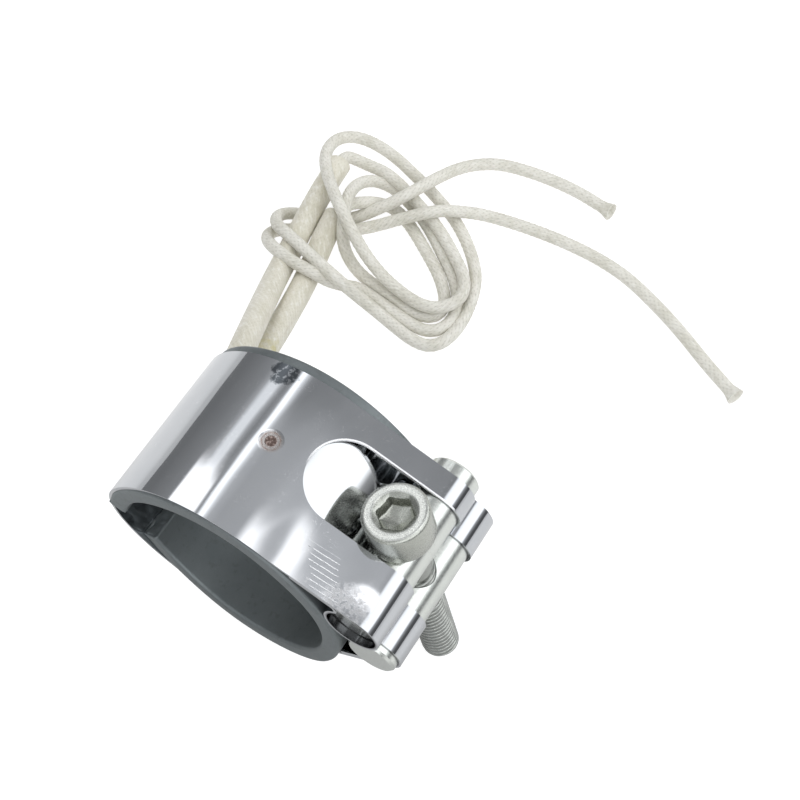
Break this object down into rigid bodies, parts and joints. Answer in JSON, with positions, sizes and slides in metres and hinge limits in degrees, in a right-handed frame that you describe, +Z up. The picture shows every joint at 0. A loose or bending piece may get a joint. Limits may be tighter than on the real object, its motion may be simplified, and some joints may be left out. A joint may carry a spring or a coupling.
{
  "type": "nozzle band heater",
  "caption": "Split ring heater with a clamp strap, two barrel pins, a socket screw and two sleeved braided leads.",
  "frame": {"origin": "on the axis of the bore, 13.5 mm behind the front rim", "axes": "+Y along the bore from the front rim to the rim where the leads leave, +X towards the clamp, +Z up as it lies on a table"},
  "size_m": [0.0892, 0.1035, 0.042],
  "materials": {
    "polished_strap": "mirror polished stainless strip",
    "sheath": "dull stainless sheet",
    "zinc_hardware": "zinc plated",
    "mica": "pressed mica sheet",
    "ribbon": "rolled resistance ribbon",
    "terminal": "crimped",
    "sleeve_braid": "coated glass fibre braid",
    "lead_braid": "glass fibre braid"
  },
  "bodies": {
    "root": {"inner_sheath": "sheath", "inner_mica": "mica", "core_mica": "mica", "resistance_ribbon": "ribbon", "outer_mica": "mica", "outer_sheath": "sheath", "clamp_strap": "polished_strap", "plain_barrel": "zinc_hardware", "threaded_barrel": "zinc_hardware", "upper_terminal": "terminal", "lower_terminal": "terminal", "long_sleeve": "sleeve_braid", "short_sleeve": "sleeve_braid", "upper_lead_run": "lead_braid", "lower_lead_run": "lead_braid", "lead_coil": "lead_braid", "upper_lead_tail": "lead_braid", "lower_lead_tail": "lead_braid"},
    "screw": {"clamp_screw": "zinc_hardware"}
  },
  "joints": [
    {"name": "screw_turn", "type": "hinge", "parent": "root", "child": "screw", "pos_m": [0.02396, 0.0018, 0.00509], "axis": [-0.2079, 0, 0.9781], "continuous": true}
  ]
}
